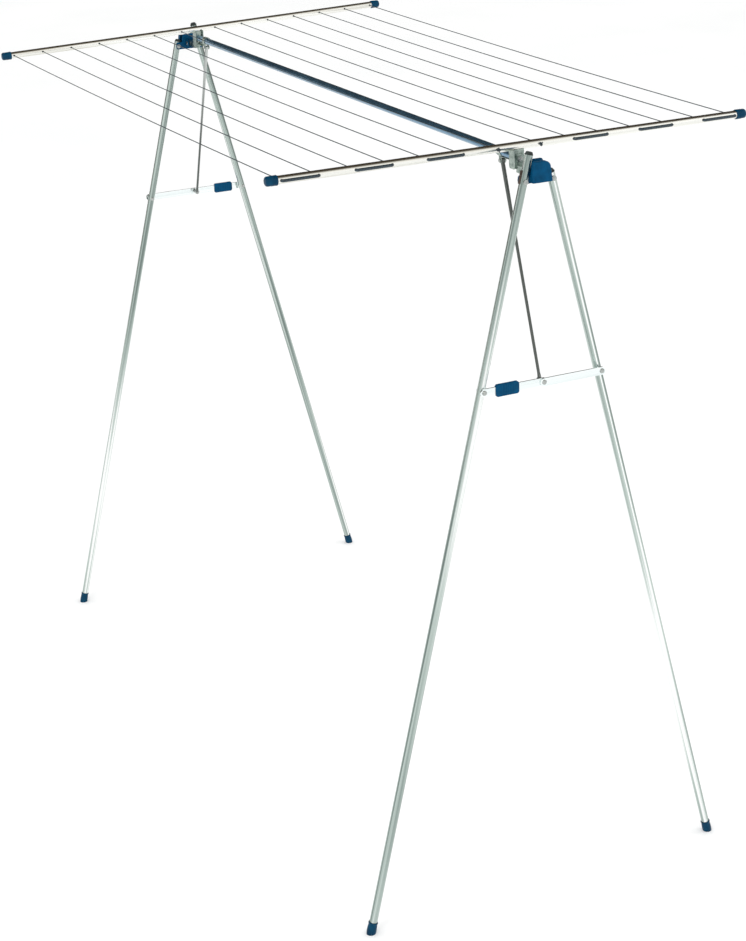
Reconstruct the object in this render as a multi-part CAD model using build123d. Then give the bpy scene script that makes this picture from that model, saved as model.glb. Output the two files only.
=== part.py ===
from build123d import *

# A free-standing clothes drying rack: a central beam carries two cross arms laced with clothes line,
# and stands on two folding A-frame trestles, one under each end of the beam.
#
# Axes: X runs along the arms, Y along the beam, Z up. The origin is on the floor under the middle of
# the beam. The front end is at -Y and the rear end is the same set of parts turned half a turn about Z.
# "Out" below is the distance outward along Y from the plane that holds the axes of a trestle's legs.
import os
from math import acos, atan, cos, hypot, pi, radians, sin, sqrt

# Overall sizes, mm
arm_length = 1030.0
arm_height = 1532.0
arm_to_middle = 824.0
trestle_to_middle = 898.0
foot_half_spread = 400.0
rear_arm_tilt = 1.7

# Tubes
tube_d = 16.0
tube_wall = 1.2
tube_r = tube_d / 2

# Clothes line and its holes
lines_per_side = 7
line_pitch = 73.4
first_line_x = 45.5
cord_d = 2.2
cord_r = cord_d / 2
cord_hole_r = 2.3
cord_bend_r = 2.8
loop_slack = 0.4
knot_r = 3.8
knot_seat = 0.3

# Fits
running_clearance = 0.05
gap_between_bodies = 0.3
push_clearance = 0.1
arm_seat_clearance = 0.5
overcut = 1.0

# Arm end caps
cap_d = 19.5
cap_length = 23.0
cap_end = 3.5

# Hanger, saddle and arm bolt
saddle_height = 6.0
hanger_sheet = 2.0
hanger_depth = 22.0
hanger_drop = 22.0
hanger_rise = 20.0
hanger_corner_r = 5.0
hanger_past_arm = 5.0
arm_bolt_r = 2.5
arm_bolt_clearance = 0.5
arm_bolt_head_r = 4.5
arm_bolt_head = 3.0
arm_nut_clearance = 0.3

# Fold hinge between the hinge tongue and the trestle head
hinge_drop = 42.0
hinge_clearance = 1.5
hinge_pin_r = 3.0
hinge_barrel_r = 7.0
tongue_width = 14.0
tongue_flange = 2.5
tongue_flange_drop = 5.0
tongue_rivet_drop = 1.0
hinge_pin_head = 2.0
ear_thickness = 2.5
front_fold = 91.0
rear_fold = 87.5

# Trestle head
pivot_drop = 50.0
pivot_half_spread = 30.24
pivot_pin_r = 3.0
pivot_head_r = 5.0
plate_thickness = 2.5
plate_margin = 5.5
plate_below = 8.0
plate_above = 10.0
plate_corner_r = 5.0
plate_gap = 1.0
hood_bottom_width = 43.0
hood_top_width = 33.0
hood_below_pivot = 1.5
hood_height = 39.0
hood_depth = 12.0
hood_wall = 2.4
hood_gap = 0.8
hood_long_corner_r = 4.0
hood_short_corner_r = 12.0
hood_edge_r = 2.5
hood_core_width = 19.0
hood_core_start = 2.0
hood_core_top = 15.0

# Legs
long_leg_above_pivot = 49.0
short_leg_above_pivot = 11.0
leg_plug = 6.0
leg_plug_spigot = 7.0
leg_plug_rim = 0.2
leg_plug_dome_r = 3.0
foot_d = 19.5
foot_length = 25.0
foot_floor = 3.0
foot_edge_r = 2.5
bumper_length = 25.0
bumper_above_pivot = 20.0
bumper_width = 6.0
bumper_thickness = 2.0

# Spreader links and their rivets
spreader_drop = 392.0
link_height = 16.0
link_thickness = 3.0
link_out = 11.5
rivet_r = 2.5
rivet_head_r = 5.0
rivet_head = 2.0

# Lock sleeve on the link of the long leg
sleeve_length = 50.0
sleeve_height = 24.0
sleeve_start = 24.0
sleeve_wall = 2.5
sleeve_clearance = 0.2
sleeve_chamfer = 4.0
sleeve_edge_r = 1.0

# Brace rod
rod_r = 3.0
rod_eye_r = 5.0
rod_eye_width = 6.6
rod_pin_r = 2.0
rod_pin_head = 1.5
rod_boss_half = 5.0
rod_boss_wall = 1.5
rod_drop = 9.0
lug_sheet = 2.0
lug_length = 16.0

# ------------------------------------------------------------------------------------------------
# Places that follow from the sizes above

beam_height = arm_height - tube_d - saddle_height
hinge_height = arm_height - hinge_drop
pivot_height = arm_height - pivot_drop
spreader_height = pivot_height - spreader_drop
hood_bottom = pivot_height - hood_below_pivot
long_leg_top = pivot_height + long_leg_above_pivot
short_leg_top = pivot_height + short_leg_above_pivot
bumper_top = pivot_height + bumper_above_pivot
leg_slope = (foot_half_spread - pivot_half_spread) / pivot_height
leg_angle = atan(leg_slope)
tube_bore_r = tube_r - tube_wall


def leg_half(height):
    """Half the distance between the axes of a trestle's two legs at a height."""
    return foot_half_spread - leg_slope * height


link_length = leg_half(spreader_height)
hinge_in = tube_r + plate_gap + plate_thickness + hinge_clearance + hinge_barrel_r
hinge_y = trestle_to_middle - hinge_in
leg_rivet_reach = (pivot_height - spreader_height) / cos(leg_angle)
knee_drop = sqrt(link_length**2 - pivot_half_spread**2)

# The knee's distance down the trestle from the fold hinge, when it stands and when it is folded
knee_open = hinge_height - spreader_height
knee_folded = hinge_height - pivot_height + leg_rivet_reach + knee_drop
link_turn = acos(pivot_half_spread / link_length)

# The two ends of the knee's travel, outward and up from the fold hinge. The rod's lug stands where
# it is equally far from both, so a rod of one length reaches the knee standing and folded.
rod_pivot_height = beam_height - tube_r - rod_drop
rod_pivot_up = rod_pivot_height - hinge_height


def knee_place(turn, reach):
    """Outward and upward distance of the knee from the fold hinge, when the trestle has turned."""
    out = -reach * sin(turn) + hinge_in * cos(turn)
    up = -reach * cos(turn) - hinge_in * sin(turn)
    return out, up


open_out, open_up = knee_place(0.0, knee_open)
fold_out, fold_up = knee_place(radians((front_fold + rear_fold) / 2), knee_folded)
fold_square = fold_out**2 + (fold_up - rod_pivot_up) ** 2
open_square = open_out**2 + (open_up - rod_pivot_up) ** 2
rod_pivot_in = (fold_square - open_square) / (2 * (open_out - fold_out))
rod_pivot_y = hinge_y - rod_pivot_in
rod_length = hypot(open_out + rod_pivot_in, open_up - rod_pivot_up)

link_a_out = link_out
link_b_out = link_a_out + link_thickness + gap_between_bodies
sleeve_thickness = link_thickness + 2 * (sleeve_wall + sleeve_clearance)
hanger_half = tube_r + gap_between_bodies + hanger_sheet
hanger_end = arm_to_middle + hanger_past_arm
tongue_rivet_height = beam_height - tongue_rivet_drop
plate_out = -(tube_r + plate_gap)
hood_out = tube_r + hood_gap
loop_out = tube_r + cord_r + loop_slack
loop_start = loop_out - cord_bend_r - loop_slack


# ------------------------------------------------------------------------------------------------
# Small helpers


def at(x, out, z):
    """A point of the front trestle, from its distance out of the leg plane."""
    return Vector(x, -(trestle_to_middle + out), z)


def round_bar(start, end, radius):
    """A solid round bar between two points."""
    run = Vector(end) - Vector(start)
    return Solid.make_cylinder(radius, run.length, Plane(origin=Vector(start), z_dir=run))


def block(low, high):
    """A box between any two opposite corners."""
    pairs = [sorted(pair) for pair in zip(Vector(low), Vector(high))]
    origin = Vector(*[pair[0] for pair in pairs])
    size = [pair[1] - pair[0] for pair in pairs]
    return Solid.make_box(*size, Plane(origin=origin))


def across(x, z, out_from, out_to, radius):
    """A round bar along Y at one place of the front trestle."""
    return round_bar(at(x, out_from, z), at(x, out_to, z), radius)


def along_x(x_from, x_to, y, z, radius):
    """A round bar along X."""
    return round_bar((x_from, y, z), (x_to, y, z), radius)


def headed_pin(x, z, out_from, out_to, radius, head_radius, head, both=True):
    """A pin along Y with a head at its outer end, and a second one at its inner end if both is set."""
    pin = across(x, z, out_from, out_to, radius) + across(x, z, out_to, out_to + head, head_radius)
    if both:
        pin = pin + across(x, z, out_from - head, out_from, head_radius)
    return pin


def leg_point(side, height, out=0.0):
    """A point on the axis of a front leg: side is -1 for the long leg and +1 for the short one."""
    return at(side * leg_half(height), out, height)


def turn_round(shape):
    """The same part at the rear end."""
    return shape.rotate(Axis.Z, 180)


nodes = {}


def keep(name, *solids):
    """Remembers a node and its solids."""
    nodes[name] = list(solids)


# ------------------------------------------------------------------------------------------------
# Top frame: beam, arms, caps and clothes line


def line_places():
    """Distances along an arm, from its middle, of the holes on one side."""
    return [first_line_x + line_pitch * step for step in range(lines_per_side)]


def beam():
    """Round steel tube from hanger to hanger, drilled for the two arm bolts."""
    end = hanger_end - push_clearance
    tube = round_bar((0, -end, beam_height), (0, end, beam_height), tube_r)
    tube = tube - round_bar((0, -end, beam_height), (0, end, beam_height), tube_bore_r)
    low = beam_height - tube_d
    high = beam_height + tube_d
    for y in (-arm_to_middle, arm_to_middle):
        tube = tube - round_bar((0, y, low), (0, y, high), arm_bolt_r + push_clearance)
    return tube


def arm():
    """Round tube along X through the origin, with a cross hole for each line and one for its bolt."""
    half = arm_length / 2 - cap_end
    tube = along_x(-half, half, 0, 0, tube_r) - along_x(-half, half, 0, 0, tube_bore_r)
    for place in line_places():
        for x in (-place, place):
            tube = tube - round_bar((x, -tube_d, 0), (x, tube_d, 0), cord_hole_r)
    return tube - round_bar((0, 0, -tube_d), (0, 0, 0), arm_bolt_r + arm_bolt_clearance)


def arm_cap(side):
    """Push-on plastic cap over one end of an arm, with a rounded outer end."""
    end = side * arm_length / 2
    inner = side * (arm_length / 2 - cap_length)
    seat = side * (arm_length / 2 - cap_end + push_clearance)
    cap = along_x(inner, end, 0, 0, cap_d / 2)
    outer_edge = cap.edges().filter_by(GeomType.CIRCLE).sort_by(Axis.X)[-1 if side > 0 else 0]
    cap = cap.fillet(cap_end - push_clearance * 3, [outer_edge])
    return cap - along_x(inner, seat, 0, 0, tube_r + push_clearance)


def arm_place(end):
    """Where an arm's middle lies: end is -1 at the front and +1 at the rear, whose arm sits tilted."""
    tilt = rear_arm_tilt if end > 0 else 0.0
    return Location((0, end * arm_to_middle, arm_height), (0, -tilt, 0))


def saddle():
    """Cast block that cradles the front arm above and the beam below, inside the hanger."""
    half = hanger_half - hanger_sheet - push_clearance
    reach = hanger_end - arm_to_middle - push_clearance
    outer_end = (0, -hanger_end, beam_height)
    inner_end = (0, -arm_to_middle + tube_d, beam_height)
    body = block(
        (-half, -arm_to_middle - reach, beam_height + tube_r / 2),
        (half, -arm_to_middle + tube_r, arm_height - tube_r / 2),
    )
    body = body - along_x(-half, half, -arm_to_middle, arm_height, tube_r + arm_seat_clearance)
    body = body - round_bar(outer_end, inner_end, tube_r + push_clearance)
    low = (0, -arm_to_middle, beam_height)
    high = (0, -arm_to_middle, arm_height)
    return body - round_bar(low, high, arm_bolt_r + push_clearance)


def arm_bolt():
    """Bolt up through the beam, saddle and arm's lower wall, with its nut inside the arm."""
    nut_low = arm_height - sqrt(tube_bore_r**2 - arm_bolt_head_r**2) + arm_nut_clearance
    top = nut_low + arm_bolt_head
    bottom = beam_height - tube_r - push_clearance
    y = -arm_to_middle
    bolt = round_bar((0, y, bottom), (0, y, top), arm_bolt_r)
    bolt = bolt + round_bar((0, y, nut_low), (0, y, top), arm_bolt_head_r)
    return bolt + round_bar((0, y, bottom - arm_bolt_head), (0, y, bottom), arm_bolt_head_r)


def hanger():
    """Bent sheet bracket: a cheek each side of the beam's end and a web across it, notched for the arm."""
    inner_y = -(hanger_end + hanger_sheet - hanger_depth)
    outer_y = -(hanger_end + hanger_sheet)
    low = beam_height - hanger_drop
    high = beam_height + hanger_rise
    body = block((-hanger_half, outer_y, low), (hanger_half, inner_y, high))
    body = fillet(body.edges().filter_by(Axis.X).group_by(Axis.Z)[0], hanger_corner_r)
    inside = hanger_half - hanger_sheet
    body = body - block(
        (-inside, outer_y + hanger_sheet, low - overcut),
        (inside, inner_y + overcut, high + overcut),
    )
    opening = tube_r + arm_seat_clearance + push_clearance
    notch = along_x(-hanger_half, hanger_half, -arm_to_middle, arm_height, opening)
    above = block(
        (-hanger_half, -arm_to_middle - opening, arm_height),
        (hanger_half, -arm_to_middle + opening, high + tube_d),
    )
    return body - notch - above - tongue_rivet_hole()


def hinge_tongue():
    """Steel tongue riveted to the hanger's web, carrying the fold hinge's hole at its outer end."""
    web_y = -(hanger_end + hanger_sheet)
    half = tongue_width / 2
    flange_low = hinge_height - tongue_flange_drop
    flange_top = beam_height + tube_r
    flange = block((-half, web_y - tongue_flange, flange_low), (half, web_y, flange_top))
    bar = block(
        (-half, -hinge_y, hinge_height - hinge_barrel_r), (half, web_y, hinge_height + hinge_barrel_r)
    )
    barrel = along_x(-half, half, -hinge_y, hinge_height, hinge_barrel_r)
    hole = along_x(-half, half, -hinge_y, hinge_height, hinge_pin_r + running_clearance)
    return flange + bar + barrel - hole - tongue_rivet_hole()


def tongue_rivet_hole():
    """The hole that the tongue's rivet goes through in the flange and the web."""
    web_y = -(hanger_end + hanger_sheet)
    return round_bar(
        (0, web_y - 2 * tongue_flange, tongue_rivet_height),
        (0, web_y + 2 * hanger_sheet, tongue_rivet_height),
        rivet_r + push_clearance,
    )


def tongue_rivet():
    """Rivet that holds the tongue's flange to the hanger's web."""
    web_y = -(hanger_end + hanger_sheet)
    face = (0, web_y - tongue_flange, tongue_rivet_height)
    inside = (0, web_y + hanger_sheet, tongue_rivet_height)
    head = (0, web_y - tongue_flange - rivet_head, tongue_rivet_height)
    return round_bar(face, inside, rivet_r) + round_bar(head, face, rivet_head_r)


def rod_lug():
    """Clip round the beam with two ears below it that hold the brace rod's pin."""
    y = -rod_pivot_y
    front = y - lug_length / 2
    back = y + lug_length / 2
    half = rod_eye_width / 2 + gap_between_bodies
    outer_half = half + lug_sheet
    ring = round_bar((0, front, beam_height), (0, back, beam_height), tube_r + lug_sheet)
    low = rod_pivot_height - rod_eye_r
    ears = block((-outer_half, front, low), (outer_half, back, beam_height))
    ears = fillet(ears.edges().filter_by(Axis.X).group_by(Axis.Z)[0], rod_eye_r - push_clearance * 5)
    slot_top = beam_height - tube_r - lug_sheet
    slot = block((-half, front - overcut, low - overcut), (half, back + overcut, slot_top))
    bore = round_bar((0, front, beam_height), (0, back, beam_height), tube_r + push_clearance)
    pin_hole = along_x(-tube_d, tube_d, y, rod_pivot_height, rod_pin_r + push_clearance)
    return ring + ears - slot - bore - pin_hole


def rod_lug_pin():
    """Pin along X through the lug's ears and the rod's eye."""
    half = rod_eye_width / 2 + gap_between_bodies + lug_sheet
    y = -rod_pivot_y
    pin = along_x(-half, half, y, rod_pivot_height, rod_pin_r)
    head_r = rod_pin_r + rod_pin_head
    for side in (-1, 1):
        pin = pin + along_x(side * half, side * (half + rod_pin_head), y, rod_pivot_height, head_r)
    return pin


# Clothes line. Each side is one cord, laced through seven holes of each arm.


def hole_exit(end, along, reach):
    """A point on the axis of an arm's hole, reach out from the arm's axis on its outer side."""
    place = arm_place(end).position
    tilt = radians(rear_arm_tilt if end > 0 else 0.0)
    return Vector(along * cos(tilt), end * (arm_to_middle + reach), place.Z + along * sin(tilt))


def straight_run(along):
    """One taut run of cord, between its outer ends just inside the two arms' outer walls."""
    front = hole_exit(-1, along, loop_start)
    rear = hole_exit(1, along, loop_start)
    ends = [Plane(origin=point, z_dir=(0, 1, 0)) * Circle(cord_r) for point in (front, rear)]
    return loft(ends, ruled=True).solid()


def outer_loop(end, first, second):
    """The short length of cord that passes along an arm's outer side from one hole to the next."""
    sign = 1 if end > 0 else -1
    corners = [
        (first, sign * loop_start, 0),
        (first, sign * loop_out, 0),
        (second, sign * loop_out, 0),
        (second, sign * loop_start, 0),
    ]
    path = FilletPolyline(*corners, radius=cord_bend_r)
    profile = Plane(origin=corners[0], z_dir=(0, sign, 0)) * Circle(cord_r)
    return (arm_place(end) * sweep(profile, path)).solid()


def end_knot(end, along):
    """The knot that stops a cord on the outer side of its last hole."""
    centre = hole_exit(end, along, tube_r + knot_seat + knot_r * 0.7)
    ball = Pos(centre) * Sphere(knot_r)
    seat_y = end * (arm_to_middle + tube_r + knot_seat)
    around = 2 * knot_r
    cut = block(
        (centre.X - around, end * arm_to_middle, centre.Z - around),
        (centre.X + around, seat_y, centre.Z + around),
    )
    tail = round_bar(hole_exit(end, along, loop_start), hole_exit(end, along, tube_r + knot_seat), cord_r)
    return (ball - cut + tail).solid()


def clothes_line(side):
    """One side's cord: it starts at a knot behind the rear arm and ends at one before the front arm."""
    places = [side * place for place in reversed(line_places())]
    solids = [end_knot(1, places[0])]
    for index, along in enumerate(places):
        solids.append(straight_run(along))
        if index + 1 < len(places):
            end = -1 if index % 2 == 0 else 1
            solids.append(outer_loop(end, along, places[index + 1]))
    solids.append(end_knot(-1, places[-1]))
    return solids


def cord_length():
    """The length of one cord along its centre line, with its knots left out."""
    runs = lines_per_side * 2 * (arm_to_middle + loop_start)
    corner_saving = (4 - pi) * cord_bend_r
    loops = (lines_per_side - 1) * (line_pitch + 2 * (loop_out - loop_start) - corner_saving)
    return runs + loops


# ------------------------------------------------------------------------------------------------
# Trestle parts, at the front end


def head_outline(inset):
    """The head's sloping outline between its lower edge and its top, as seen from outside."""
    low = hood_bottom_width / 2 - inset
    high = hood_top_width / 2 - inset
    top = hood_bottom + hood_height - inset
    return [(-low, hood_bottom - overcut), (low, hood_bottom - overcut), (high, top), (-high, top)]


def head_plate():
    """Plate behind the legs and hood that carries the pivots, with two ears for the hinge pin."""
    half = pivot_half_spread + plate_margin
    inner_y = -(trestle_to_middle + plate_out - plate_thickness)
    outer_y = -(trestle_to_middle + plate_out)
    plate = block((-half, outer_y, pivot_height - plate_below), (half, inner_y, pivot_height + plate_above))
    plate = fillet(plate.edges().filter_by(Axis.Y), plate_corner_r)
    back = Plane(origin=at(0, plate_out - plate_thickness, 0), x_dir=(1, 0, 0), z_dir=(0, -1, 0))
    upper = extrude(back * Polygon(*head_outline(0.0), align=None), plate_thickness)
    plate = plate + fillet(upper.edges().filter_by(Axis.Y).group_by(Axis.Z)[-1], plate_corner_r)
    ear_half = tongue_width / 2 + gap_between_bodies
    reach = ear_half + ear_thickness
    low = hinge_height - hinge_barrel_r
    high = hinge_height + hinge_barrel_r
    for side in (-1, 1):
        near, far = sorted((side * ear_half, side * reach))
        plate = plate + block((near, inner_y, low), (far, -hinge_y, high))
        plate = plate + along_x(near, far, -hinge_y, hinge_height, hinge_barrel_r)
    plate = plate - along_x(-reach, reach, -hinge_y, hinge_height, hinge_pin_r + push_clearance)
    hole_r = pivot_pin_r + push_clearance
    for side in (-1, 1):
        plate = plate - across(side * pivot_half_spread, pivot_height, -tube_d, 0, hole_r)
    return plate - hood_core(push_clearance)


def hinge_pin():
    """Pin of the fold hinge, along X, with a head on each side of the head plate's ears."""
    reach = tongue_width / 2 + gap_between_bodies + ear_thickness
    pin = along_x(-reach, reach, -hinge_y, hinge_height, hinge_pin_r)
    for side in (-1, 1):
        near, far = sorted((side * reach, side * (reach + hinge_pin_head)))
        pin = pin + along_x(near, far, -hinge_y, hinge_height, hinge_pin_r + hinge_pin_head)
    return pin


def hood_core(extra=0.0):
    """Block in the middle of the hood that passes between the legs to the head plate."""
    half = hood_core_width / 2 + extra
    return block(
        at(-half, hood_out + hood_depth - hood_wall / 2, pivot_height + hood_core_start - extra),
        at(half, plate_out - plate_thickness, pivot_height + hood_core_top + extra),
    )


def hood():
    """Moulded hood over the outer side of the legs' upper ends, narrower at its top."""
    below = block(
        at(-hood_bottom_width, 3 * hood_depth, hood_bottom - 2 * overcut),
        at(hood_bottom_width, -hood_depth, hood_bottom),
    )

    back = Plane(origin=at(0, hood_out, 0), x_dir=(1, 0, 0), z_dir=(0, -1, 0))
    shell = extrude(back * Polygon(*head_outline(0.0), align=None), hood_depth)
    long_corner, short_corner = shell.edges().filter_by(Axis.Y).group_by(Axis.Z)[-1].sort_by(Axis.X)
    shell = fillet(long_corner, hood_long_corner_r)
    short_corner = shell.edges().filter_by(Axis.Y).group_by(Axis.Z)[-1].sort_by(Axis.X)[-1]
    shell = fillet(short_corner, hood_short_corner_r)
    front_edges = shell.faces().sort_by(Axis.Y)[0].edges().sort_by(Axis.Z)[1:]
    shell = fillet(front_edges, hood_edge_r)
    hollow = extrude(back * Polygon(*head_outline(hood_wall), align=None), hood_depth - hood_wall)
    return shell - hollow - below + hood_core()


def pivot_pin(side):
    """Pin that a leg turns on, from the head plate out through the leg."""
    x = side * pivot_half_spread
    inner = plate_out - plate_thickness
    outer = tube_r + gap_between_bodies
    return headed_pin(x, pivot_height, inner, outer, pivot_pin_r, pivot_head_r, rivet_head, both=True)


def leg_bar(side, top, bottom, radius):
    """A round bar along a leg's axis between two heights."""
    return round_bar(leg_point(side, bottom), leg_point(side, top), radius)


def leg_tube(side, top):
    """Leg tube, drilled for its pivot and for the spreader's rivet."""
    bore = leg_bar(side, top + overcut, foot_floor - overcut, tube_bore_r)
    tube = leg_bar(side, top, foot_floor, tube_r) - bore
    pivot_r = pivot_pin_r + running_clearance
    tube = tube - across(side * pivot_half_spread, pivot_height, -tube_d, tube_d, pivot_r)
    rivet_hole_r = rivet_r + push_clearance
    return tube - across(side * link_length, spreader_height, -tube_d, tube_d, rivet_hole_r)


def leg_end_plug(side, top):
    """Domed plug in a leg's upper end."""
    direction = (leg_point(side, top) - leg_point(side, foot_floor)).normalized()
    seat = leg_point(side, top)
    rim = round_bar(seat, seat + direction * leg_plug, tube_r + leg_plug_rim)
    top_edge = rim.edges().filter_by(GeomType.CIRCLE).sort_by(Axis.Z)[-1]
    rim = rim.fillet(leg_plug_dome_r, [top_edge])
    return rim + round_bar(seat - direction * leg_plug_spigot, seat, tube_bore_r - push_clearance)


def foot(side):
    """Moulded foot pushed over a leg's lower end and cut flat where it stands."""
    centre = leg_point(side, 0)
    direction = (leg_point(side, pivot_height) - centre).normalized()
    body = round_bar(centre - direction * foot_d, centre + direction * foot_length, foot_d / 2)
    top_edge = body.edges().filter_by(GeomType.CIRCLE).sort_by(Axis.Z)[-1]
    body = body.fillet(foot_edge_r, [top_edge])
    seat = leg_point(side, foot_floor) - direction * push_clearance
    socket = round_bar(seat, leg_point(side, 2 * foot_length), tube_r + push_clearance)
    around = 2 * foot_d
    below = block(
        (centre.X - around, centre.Y - around, -around),
        (centre.X + around, centre.Y + around, 0),
    )
    return body - socket - below


def link_rivet(side, link_inner):
    """Rivet through a leg and a spreader link, with a collar that holds the link off the leg."""
    x = side * link_length
    inner = -tube_r - push_clearance
    outer = link_inner + link_thickness + gap_between_bodies
    rivet = headed_pin(x, spreader_height, inner, outer, rivet_r, rivet_head_r, rivet_head)
    collar_end = link_inner - gap_between_bodies
    return rivet + across(x, spreader_height, tube_r + push_clearance, collar_end, rivet_head_r)


def bumper():
    """Soft strip stuck along the long leg's outward side, just below the head."""
    low = leg_point(-1, bumper_top - bumper_length)
    high = leg_point(-1, bumper_top)
    direction = (high - low).normalized()
    sideways = direction.cross(Vector(0, 1, 0)).normalized()
    if sideways.X > 0:
        sideways = sideways * -1
    thickness = tube_r + bumper_thickness
    plane = Plane(origin=low + sideways * thickness / 2, x_dir=(0, 1, 0), z_dir=direction)
    strip = extrude(plane * RectangleRounded(bumper_width, thickness, bumper_thickness / 2), bumper_length)
    return strip - leg_bar(-1, bumper_top + tube_d, bumper_top - bumper_length - tube_d, tube_r)


def link(side, inner, hole_at_knee):
    """Flat spreader link with rounded ends, from a leg's rivet to the knee."""
    back = Plane(origin=at(0, inner, 0), x_dir=(1, 0, 0), z_dir=(0, -1, 0))
    slot = SlotOverall(link_length + link_height, link_height)
    outline = Pos(side * link_length / 2, spreader_height) * slot
    flat = extrude(back * outline, link_thickness)
    near = inner - overcut
    far = inner + link_thickness + overcut
    flat = flat - across(side * link_length, spreader_height, near, far, rivet_r + running_clearance)
    return flat - across(0, spreader_height, near, far, hole_at_knee)


def knee_rivet():
    """Rivet at the knee, in the link of the short leg."""
    outer = link_b_out + link_thickness
    return headed_pin(0, spreader_height, link_b_out, outer, rivet_r, rivet_head_r, rivet_head, both=False)


def lock_sleeve():
    """Moulded sleeve that slides on the long leg's link, with chamfered ends."""
    middle = link_a_out + link_thickness / 2
    start = -link_length + sleeve_start
    low = at(start, middle + sleeve_thickness / 2, spreader_height - sleeve_height / 2)
    high = at(start + sleeve_length, middle - sleeve_thickness / 2, spreader_height + sleeve_height / 2)
    body = block(low, high)
    body = chamfer(body.edges().filter_by(Axis.Y), sleeve_chamfer)
    body = fillet(body.faces().sort_by(Axis.Y)[0].edges(), sleeve_edge_r)
    slot_y = link_thickness / 2 + sleeve_clearance
    slot_z = link_height / 2 + sleeve_clearance
    return body - block(
        at(start - overcut, middle + slot_y, spreader_height - slot_z),
        at(start + sleeve_length + overcut, middle - slot_y, spreader_height + slot_z),
    )


def brace_rod():
    """Round rod from the lug under the beam to the knee, with an eye above and a boss below."""
    top = Vector(0, -rod_pivot_y, rod_pivot_height)
    knee = at(0, 0, spreader_height)
    rod = round_bar(top, knee, rod_r)
    half = rod_eye_width / 2
    rod = rod + along_x(-half, half, top.Y, top.Z, rod_eye_r)
    rod = rod + across(0, spreader_height, -rod_boss_half, rod_boss_half, rod_eye_r)
    boss_end = link_a_out - gap_between_bodies
    rod = rod + across(0, spreader_height, 0, boss_end, rivet_r + rod_boss_wall)
    return rod - along_x(-half - overcut, half + overcut, top.Y, top.Z, rod_pin_r + running_clearance)


# ------------------------------------------------------------------------------------------------
# The whole rack

keep("beam_tube", beam())
for end, name in ((-1, "front"), (1, "rear")):
    keep(f"{name}_arm", arm_place(end) * arm())
    for side, hand in ((-1, "left"), (1, "right")):
        keep(f"{name}_arm_cap_{hand}", arm_place(end) * arm_cap(side))

keep("left_cord", *clothes_line(-1))
keep("right_cord", *clothes_line(1))

front_parts = {
    "hanger": hanger(),
    "saddle": saddle(),
    "arm_bolt": arm_bolt(),
    "hinge_tongue": hinge_tongue(),
    "tongue_rivet": tongue_rivet(),
    "rod_lug": rod_lug(),
    "rod_lug_pin": rod_lug_pin(),
    "head_plate": head_plate(),
    "hinge_pin": hinge_pin(),
    "hood": hood(),
    "long_leg": leg_tube(-1, long_leg_top),
    "long_leg_plug": leg_end_plug(-1, long_leg_top),
    "long_leg_foot": foot(-1),
    "long_leg_rivet": link_rivet(-1, link_a_out),
    "bumper": bumper(),
    "short_leg": leg_tube(1, short_leg_top),
    "short_leg_plug": leg_end_plug(1, short_leg_top),
    "short_leg_foot": foot(1),
    "short_leg_rivet": link_rivet(1, link_b_out),
    "long_link": link(-1, link_a_out, rivet_r + running_clearance),
    "short_link": link(1, link_b_out, rivet_r + push_clearance),
    "knee_rivet": knee_rivet(),
    "lock_sleeve": lock_sleeve(),
    "brace_rod": brace_rod(),
}
for part_name, shape in front_parts.items():
    keep(f"front_{part_name}", shape)
    keep(f"rear_{part_name}", turn_round(shape))
pivot_pins = [pivot_pin(-1), pivot_pin(1)]
keep("front_leg_pivot_pins", *pivot_pins)
keep("rear_leg_pivot_pins", *[turn_round(pin) for pin in pivot_pins])

os.makedirs("parts", exist_ok=True)
for name, shapes in nodes.items():
    solids = [solid for shape in shapes for solid in shape.solids()]
    whole = solids[0] if len(solids) == 1 else Compound(children=solids)
    whole.label = name
    export_step(whole, f"parts/{name}.step")

print("nodes", len(nodes))
print("cord length", round(cord_length(), 1))
print("rod pivot", round(rod_pivot_in, 2), "rod length", round(rod_length, 2))
print("knee drop", round(knee_drop, 2))
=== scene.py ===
# %% [markdown]
# # A folding clothes drying rack
# The rack is a blue steel beam with an anodised aluminium arm across each end. Clothes line is laced
# through both arms, and two folding A-frame trestles carry the beam. The engineering model already
# holds every part that moves or fits, so this lesson loads it as a fixed frame and dresses it: some
# parts keep their shape and get a finish, and others are rebuilt finer where the eye would notice.

# %% Load the frame
import math

import bmesh
import bpy
from mathutils import Matrix, Vector


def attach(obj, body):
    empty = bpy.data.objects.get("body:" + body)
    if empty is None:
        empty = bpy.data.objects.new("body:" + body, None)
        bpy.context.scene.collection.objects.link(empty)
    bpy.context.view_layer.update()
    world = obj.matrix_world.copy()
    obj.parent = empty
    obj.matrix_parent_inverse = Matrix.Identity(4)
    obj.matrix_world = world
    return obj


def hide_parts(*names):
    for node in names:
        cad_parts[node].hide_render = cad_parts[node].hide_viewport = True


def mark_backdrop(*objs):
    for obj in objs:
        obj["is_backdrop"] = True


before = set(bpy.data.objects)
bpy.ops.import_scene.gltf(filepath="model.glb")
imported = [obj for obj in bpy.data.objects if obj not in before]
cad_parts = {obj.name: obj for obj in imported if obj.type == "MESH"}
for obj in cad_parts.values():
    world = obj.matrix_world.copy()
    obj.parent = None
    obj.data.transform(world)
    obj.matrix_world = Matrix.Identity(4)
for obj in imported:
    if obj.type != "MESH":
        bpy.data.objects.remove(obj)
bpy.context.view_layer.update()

MM = 0.001

# %% [markdown]
# ## Camera
# A long lens from a little above and to the left keeps the beam's far end nearly as large as the near
# one. The camera is placed by its bearing, its dip and a small roll, and the lens is shifted a little
# so that the upright legs lean less.

# %% Camera
CAMERA_PLACE = Vector((-1.9052, -4.1974, 2.3966))
CAMERA_BEARING = 0.4410
CAMERA_DIP = 0.3047
CAMERA_ROLL = -0.0360
CAMERA_LENS = 80.49
CAMERA_SHIFT = -0.15


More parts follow.
